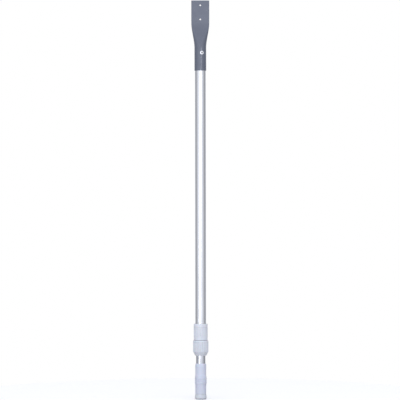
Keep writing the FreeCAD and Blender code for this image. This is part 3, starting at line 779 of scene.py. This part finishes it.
def make_collar():
    """The collar fixed on the outer tube, with its threaded spigot and fine ribs."""
    rib, spigot, top = extent("collar_body")
    band = rib - 0.3
    shelf = 176.0
    edge = 0.8
    step = 1.0
    lead_in = 0.3
    lead_rise = 0.4
    rib_start = 187.0
    rib_end = 212.0
    groove_end = 216.0
    bevel = 1.5
    cone_rise = 6.0
    cone_run = 1.2
    thread_start = 151.0
    thread_turns = 6.0
    seat = OUTER_RADIUS + SEAT_GAP
    ledge = extent("outer_tube")[1] - SEAT_GAP
    slide = INNER_RADIUS + SLIDE_GAP
    collet_radius, _, collet_top = extent("split_collet")
    mouth = collet_radius + CONE_GAP
    cone_end = collet_top + CONE_GAP
    cone_start = cone_end - cone_rise
    outline = rounded([
        (mouth + lead_in, spigot, 0.1),
        (SPIGOT_CORE - edge, spigot, 0.3),
        (SPIGOT_CORE, spigot + edge, 0.3),
        (SPIGOT_CORE, shelf, 0),
        (band - edge, shelf, 0.3),
        (band, shelf + edge, 0.5),
        (band, rib_start - step, 0.5),
        (rib, rib_start, 0.5),
        (rib, rib_end, 0.5),
        (band, rib_end + step, 0.5),
        (band, groove_end - step, 0.5),
        (rib, groove_end, 0.4),
        (rib, top - bevel, 0.8),
        (rib - bevel, top, 0.8),
        (seat, top, 0.2),
        (seat, ledge, 0),
        (slide, ledge, 0.2),
        (slide, cone_end, 0),
        (mouth - cone_run, cone_end, 0),
        (mouth, cone_start, 0),
        (mouth, spigot + lead_rise, 0),
    ])
    low_end = np.arange(rib_start, rib_start + RUN_OUT, ROW_STEP)
    high_end = np.arange(rib_end - RUN_OUT, rib_end, ROW_STEP)
    outline = with_levels(outline, np.concatenate([low_end, high_end]))
    shape = scalloped(rib, depth=0.8, start=rib_start, finish=rib_end, seam=0.04)
    piece = lathe("collar_moulded", outline, segments=RIB_SEGMENTS, shape=shape)
    ridge = thread_ridge(SPIGOT_CORE - THREAD_SINK, SPIGOT_CORE + THREAD_DEPTH,
                         thread_start, thread_turns)
    combine(piece, ridge, "UNION")
    finish_piece(piece, "outer_section", "white_plastic", WHITE_PLASTIC, "collar_body")


def make_wiper_seal():
    """The rubber lip in the nut's mouth."""
    outside, foot, top = extent("wiper_seal")
    bore = INNER_RADIUS + SLIDE_GAP
    lip_foot = 0.7
    lip_lean = 0.9
    outline = rounded([
        (bore, foot, 0.2),
        (outside, foot, 0.2),
        (outside, top, 0.2),
        (bore + lip_lean, top, 0.2),
        (bore, foot + lip_foot, 0.15),
    ])
    piece = lathe("wiper_seal_lip", outline)
    finish_piece(piece, "nut", "rubber", RUBBER, "wiper_seal")


def make_joint_seal():
    """The rubber ring between nut and collar; its grey is partly its own colour, partly painted
    shadow in the gap there.
    """
    outside, foot, top = extent("joint_seal")
    bore = SPIGOT_CORE + SEAT_GAP
    outline = rounded([
        (bore, foot, 0.2),
        (outside, foot, 0.25),
        (outside, top, 0.25),
        (bore, top, 0.2),
    ])
    piece = lathe("joint_seal_ring", outline)
    finish_piece(piece, "outer_section", "rubber", GREY_RUBBER_SHADE_LINE, "joint_seal")


make_lock_nut()
make_collar()
make_wiper_seal()
make_joint_seal()


# ---------------------------------------------------------------- head

HEAD_LOW, HEAD_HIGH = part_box("head_adapter")
HEAD_WALL = 1.5
FOLD_GAP = 0.3
SOCKET_END = 1043.0
PADDLE_START = 1119.0
TOOL_HOLE_RADIUS = 2.4
TOOL_HOLE_INSET = 14.5
TOOL_HOLE_SPACING = 42.0
SOCKET_ROWS = 8
FLARE_ROWS = 60
PADDLE_ROWS = 8

# The rivets' heights are measured out from the pole's axis
RIVET_SEAT = OUTER_RADIUS + SEAT_GAP * 2 + HEAD_WALL
RIVET_TOP = RIVET_SEAT + 1.5
BULB_TOP = OUTER_RADIUS - TUBE_WALL - 0.5
BULB_FOOT = BULB_TOP - 3.6
RIVET_BORE = 1.6


def stadium(width, thickness, count):
    """Points evenly spaced round two flats joined by half circles, from the front's middle."""
    radius = thickness / 2
    flat = width - thickness
    girth = 2 * flat + 2 * math.pi * radius
    places = []
    for index in range(count):
        along = girth * index / count
        far = along > girth / 2
        if far:
            along -= girth / 2
        if along < flat / 2:
            point = (along, -radius)
        elif along < flat / 2 + math.pi * radius:
            angle = (along - flat / 2) / radius - math.pi / 2
            point = (flat / 2 + radius * math.cos(angle), radius * math.sin(angle))
        else:
            point = (flat / 2 - (along - flat / 2 - math.pi * radius), radius)
        places.append((-point[0], -point[1]) if far else point)
    return places


def make_head():
    """The bracket: one steel tube, round over the pole and pressed flat at its top."""
    foot = HEAD_LOW.z / MM
    top = HEAD_HIGH.z / MM
    round_thickness = (HEAD_HIGH.y - HEAD_LOW.y) / MM - HEAD_WALL
    flat_width = (HEAD_HIGH.x - HEAD_LOW.x) / MM - HEAD_WALL
    flat_thickness = HEAD_WALL + FOLD_GAP
    slack = math.pi - 2
    girth = flat_width * 2 + flat_thickness * slack
    round_width = (girth - round_thickness * slack) / 2
    lip = 0.35
    rim = [(HEAD_WALL - lip * (1 - math.sin(a)), lip * (1 - math.cos(a)))
           for a in np.linspace(math.pi / 2, 0, ARC_STEPS)]
    levels = np.concatenate([
        np.linspace(foot + lip, SOCKET_END, SOCKET_ROWS, endpoint=False),
        np.linspace(SOCKET_END, PADDLE_START, FLARE_ROWS, endpoint=False),
        np.linspace(PADDLE_START, top - lip, PADDLE_ROWS),
    ])
    outside = [(HEAD_WALL, height) for height in levels]
    inside = [(-HEAD_WALL, height) for height in levels[::-1]]
    top_rim = [(growth, top - drop) for growth, drop in rim[1:]]
    top_rim_in = [(-growth, top - drop) for growth, drop in rim[::-1][:-1]]
    foot_rim = [(-growth, foot + drop) for growth, drop in rim[1:]]
    foot_rim_out = [(growth, foot + drop) for growth, drop in rim[::-1][:-1]]
    wall = outside + top_rim + top_rim_in + inside + foot_rim + foot_rim_out
    vertices = []
    for growth, height in wall:
        ease = float(smooth_step((height - SOCKET_END) / (PADDLE_START - SOCKET_END)))
        width = round_width + (flat_width - round_width) * ease
        thickness = (girth - width * 2) / slack
        for across, deep in stadium(width + growth, thickness + growth, SEGMENTS):
            vertices.append((across, deep, height))
    piece = new_piece("head_bracket", vertices, grid_faces(len(wall), SEGMENTS, True))
    face = (flat_thickness + HEAD_WALL) / 2
    for drop in (TOOL_HOLE_INSET, TOOL_HOLE_INSET + TOOL_HOLE_SPACING):
        drill(piece, top - drop, TOOL_HOLE_RADIUS, 0.0, face)
    drill(piece, RIVET_HEIGHT, RIVET_HOLE_RADIUS, RIVET_TURN)
    finish_piece(piece, "outer_section", "grey_coated_steel", GREY_COAT, "head_adapter")


def joined(name, pieces):
    """One piece holding several separate solids."""
    work = bmesh.new()
    for piece in pieces:
        work.from_mesh(piece.data)
        bpy.data.objects.remove(piece)
    mesh = bpy.data.meshes.new(name)
    work.to_mesh(mesh)
    work.free()
    whole = bpy.data.objects.new(name, mesh)
    bpy.context.scene.collection.objects.link(whole)
    return whole


def on_both_sides(name, outline, closed):
    """One piece of two turned solids, set into the socket at the front and at the back."""
    pieces = []
    for side in (0.0, 180.0):
        piece = lathe(f"{name}_side", outline, closed=closed, segments=RIVET_SEGMENTS)
        piece.data.transform(cross_frame(RIVET_HEIGHT, RIVET_TURN + side))
        pieces.append(piece)
    return joined(name, pieces)


def make_rivets():
    """The two blind rivets: domed flange, open mouth, shank and swelled bulb."""
    bulb = 3.6
    bulb_bevel = 0.9
    shank = 2.4
    flange = 5.75
    rim = 0.5
    shoulder = 4.1
    shoulder_drop = 0.25
    crown = 2.7
    mouth = 2.3
    mouth_floor = RIVET_TOP - 1.3
    floor_ledge = 0.3
    outline = rounded([
        (RIVET_BORE, BULB_FOOT, 0.2),
        (bulb - bulb_bevel, BULB_FOOT, 0.5),
        (bulb, BULB_FOOT + bulb_bevel, 0.8),
        (bulb, BULB_TOP, 0.4),
        (shank, BULB_TOP, 0.2),
        (shank, RIVET_SEAT, 0.1),
        (flange, RIVET_SEAT, 0.12),
        (flange, RIVET_SEAT + rim, 0.3),
        (shoulder, RIVET_TOP - shoulder_drop, 1.5),
        (crown, RIVET_TOP, 0.4),
        (mouth, RIVET_TOP, 0.3),
        (RIVET_BORE + floor_ledge, mouth_floor, 0.2),
        (RIVET_BORE, mouth_floor, 0.1),
    ])
    piece = on_both_sides("blind_rivets", outline, True)
    finish_piece(piece, "outer_section", "rivet_aluminium", RIVET_ALUMINIUM, "head_rivets")


def make_mandrels():
    """The broken-off stems inside the rivets, each with its head behind the bulb."""
    seat = BULB_FOOT - SEAT_GAP
    foot = seat - 1.6
    head = 2.2
    head_bevel = 0.7
    stem = RIVET_BORE - SEAT_GAP
    tip = RIVET_TOP - 1.6 - SEAT_GAP
    tip_drop = 0.3
    nose = 0.5
    nose_drop = 0.12
    outline = rounded([
        (0, foot, 0),
        (head - head_bevel, foot, 0.4),
        (head, foot + head_bevel, 0.5),
        (head, seat, 0.2),
        (stem, seat, 0.1),
        (stem, tip - tip_drop, 0.15),
        (nose, tip - nose_drop, 0.2),
        (0, tip, 0),
    ], closed=False)
    piece = on_both_sides("rivet_stems", outline, False)
    finish_piece(piece, "outer_section", "steel", STEEL_DARKENED_AS_SHADE, "rivet_mandrels")


make_head()
make_rivets()
make_mandrels()


# ---------------------------------------------------------------- hidden CAD pieces

HIDDEN_FINISHES = {
    "guide_plug": NATURAL_NYLON,
    "guide_pin": STEEL_DARKENED_AS_SHADE,
    "guide_o_ring": RUBBER,
    "thrust_ring": DARK_NYLON,
    "split_collet": NATURAL_NYLON,
    "bump_stop": DARK_NYLON,
}
for node, finish in HIDDEN_FINISHES.items():
    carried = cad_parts[node]
    carried.data.materials.clear()
    carried.data.materials.append(finish)


# ---------------------------------------------------------------- stage, light and camera

# The view's height over the pole's, and the height looked at over the pole's
VIEW_SHARE = 1.00326
AIM_SHARE = 0.4995
CAMERA_DISTANCE = 6.8
CAMERA_ROLL = math.radians(-0.08)
CAMERA_SIDESTEP = -0.00155
SENSOR = 36.0

FLOOR_RADIUS = 0.8
FLOOR_SEGMENTS = 128
FLOOR_DROP = 0.0002
FLOOR_ROUGHNESS = 0.9
FLOOR_GLOW = 0.3
FLOOR_SEEN = 0.92
FLOOR_BOUNCE = 0.45

LIGHT_TINT = (0.965, 0.985, 1.05)
ROOM_LIGHT = 0.46
LOBE_SQUASH = 1.7
STRIP_LOW = Vector((-2.2, -2.55, -0.42))
STRIP_HIGH = Vector((1.45, -2.72, 1.47))
STRIP_WIDTH = 0.28
STRIP_RADIANCE = 3.6
OVERHEAD_PLACE = Vector((0.0, -0.3, 3.0))
OVERHEAD_SIZE = (2.0, 2.0)
OVERHEAD_RADIANCE = 0.9

HEIGHT = cad_bounds[1][2] - cad_bounds[0][2]
MIDDLE = Vector((0.0, 0.0, HEIGHT * AIM_SHARE))


def make_floor():
    """A plain pale round floor, which the camera sees brighter than the pole does."""
    mesh = bpy.data.meshes.new("floor")
    work = bmesh.new()
    bmesh.ops.create_circle(work, cap_ends=True, radius=FLOOR_RADIUS,
                             segments=FLOOR_SEGMENTS)
    work.to_mesh(mesh)
    work.free()
    floor = bpy.data.objects.new("floor", mesh)
    floor.location.z = -FLOOR_DROP
    bpy.context.scene.collection.objects.link(floor)
    material = bpy.data.materials.new("floor")
    material.use_nodes = True
    tree = material.node_tree
    shader = tree.nodes["Principled BSDF"]
    shader.inputs["Roughness"].default_value = FLOOR_ROUGHNESS
    shader.inputs["Emission Color"].default_value = (1.0, 1.0, 1.0, 1.0)
    seen = tree.nodes.new("ShaderNodeLightPath").outputs["Is Camera Ray"]
    tone = tree.nodes.new("ShaderNodeMapRange")
    tone.inputs["To Min"].default_value = FLOOR_BOUNCE
    tone.inputs["To Max"].default_value = FLOOR_SEEN
    glow = tree.nodes.new("ShaderNodeMath")
    glow.operation = "MULTIPLY"
    glow.inputs[1].default_value = FLOOR_GLOW
    tree.links.new(seen, tone.inputs["Value"])
    tree.links.new(seen, glow.inputs[0])
    tree.links.new(tone.outputs["Result"], shader.inputs["Base Color"])
    tree.links.new(glow.outputs["Value"], shader.inputs["Emission Strength"])
    mesh.materials.append(material)


def area_light(name, place, size, radiance, roll=0.0):
    """A soft rectangular light at a place, facing the pole's middle."""
    data = bpy.data.lights.new(name, "AREA")
    data.shape = "RECTANGLE"
    data.size, data.size_y = size
    data.energy = radiance * math.pi * size[0] * size[1]
    data.color = LIGHT_TINT
    light = bpy.data.objects.new(name, data)
    turn = (MIDDLE - place).to_track_quat("-Z", "Y").to_matrix().to_4x4()
    light.matrix_world = Matrix.Translation(place) @ turn @ Matrix.Rotation(roll, 4, "Z")
    bpy.context.scene.collection.objects.link(light)


def lobe(tree, direction, azimuth, edge, core, amount):
    """A soft low patch of light in the world: amount within core degrees, none past edge."""
    angle = math.radians(azimuth - 90)
    squash = tree.nodes.new("ShaderNodeVectorMath")
    squash.operation = "MULTIPLY"
    squash.inputs[1].default_value = (1.0, 1.0, LOBE_SQUASH)
    tree.links.new(direction, squash.inputs[0])
    unit = tree.nodes.new("ShaderNodeVectorMath")
    unit.operation = "NORMALIZE"
    tree.links.new(squash.outputs["Vector"], unit.inputs[0])
    dot = tree.nodes.new("ShaderNodeVectorMath")
    dot.operation = "DOT_PRODUCT"
    dot.inputs[1].default_value = (math.cos(angle), math.sin(angle), 0.0)
    tree.links.new(unit.outputs["Vector"], dot.inputs[0])
    away = tree.nodes.new("ShaderNodeMath")
    away.operation = "ARCCOSINE"
    tree.links.new(dot.outputs["Value"], away.inputs[0])
    fall = tree.nodes.new("ShaderNodeMapRange")
    fall.interpolation_type = "SMOOTHSTEP"
    fall.inputs["From Min"].default_value = math.radians(edge)
    fall.inputs["From Max"].default_value = math.radians(core)
    fall.inputs["To Max"].default_value = amount
    tree.links.new(away.outputs[0], fall.inputs["Value"])
    return fall.outputs["Result"]


def make_world():
    """White to the camera; to the object, a grey room lit softly from front and back."""
    world = bpy.data.worlds.new("studio")
    bpy.context.scene.world = world
    world.use_nodes = True
    tree = world.node_tree
    tree.nodes.clear()
    direction = tree.nodes.new("ShaderNodeTexCoord").outputs["Generated"]
    front = lobe(tree, direction, azimuth=-4.0, edge=108.0, core=12.0, amount=0.94)
    back = lobe(tree, direction, azimuth=180.0, edge=60.0, core=10.0, amount=0.58)
    total = tree.nodes.new("ShaderNodeMath")
    tree.links.new(front, total.inputs[0])
    tree.links.new(back, total.inputs[1])
    strength = tree.nodes.new("ShaderNodeMath")
    strength.inputs[1].default_value = ROOM_LIGHT
    tree.links.new(total.outputs[0], strength.inputs[0])
    seen = tree.nodes.new("ShaderNodeBackground")
    seen.inputs["Color"].default_value = (1.0, 1.0, 1.0, 1.0)
    lit = tree.nodes.new("ShaderNodeBackground")
    lit.inputs["Color"].default_value = (*LIGHT_TINT, 1.0)
    tree.links.new(strength.outputs[0], lit.inputs["Strength"])
    path = tree.nodes.new("ShaderNodeLightPath")
    mix = tree.nodes.new("ShaderNodeMixShader")
    output = tree.nodes.new("ShaderNodeOutputWorld")
    tree.links.new(path.outputs["Is Camera Ray"], mix.inputs[0])
    tree.links.new(lit.outputs[0], mix.inputs[1])
    tree.links.new(seen.outputs[0], mix.inputs[2])
    tree.links.new(mix.outputs[0], output.inputs["Surface"])


def make_lights():
    """A narrow strip that leans from low left to high right, and a soft panel overhead."""
    run = STRIP_HIGH - STRIP_LOW
    lean = math.atan2(run.x, run.z)
    area_light("strip", (STRIP_LOW + STRIP_HIGH) / 2, (STRIP_WIDTH, run.length),
               STRIP_RADIANCE, -lean)
    area_light("overhead", OVERHEAD_PLACE, OVERHEAD_SIZE, OVERHEAD_RADIANCE)


def make_camera():
    """A long lens, level with the pole's middle, that just holds its whole height."""
    data = bpy.data.cameras.new("camera")
    data.sensor_width = SENSOR
    data.lens = SENSOR * CAMERA_DISTANCE / (HEIGHT * VIEW_SHARE)
    camera = bpy.data.objects.new("camera", data)
    place = MIDDLE + Vector((CAMERA_SIDESTEP, -CAMERA_DISTANCE, 0))
    level = Matrix.Rotation(math.pi / 2, 4, "X")
    camera.matrix_world = Matrix.Translation(place) @ level @ Matrix.Rotation(CAMERA_ROLL, 4, "Z")
    bpy.context.scene.collection.objects.link(camera)
    bpy.context.scene.camera = camera


make_floor()
make_world()
make_lights()
make_camera()
bpy.context.scene.view_settings.view_transform = "Standard"
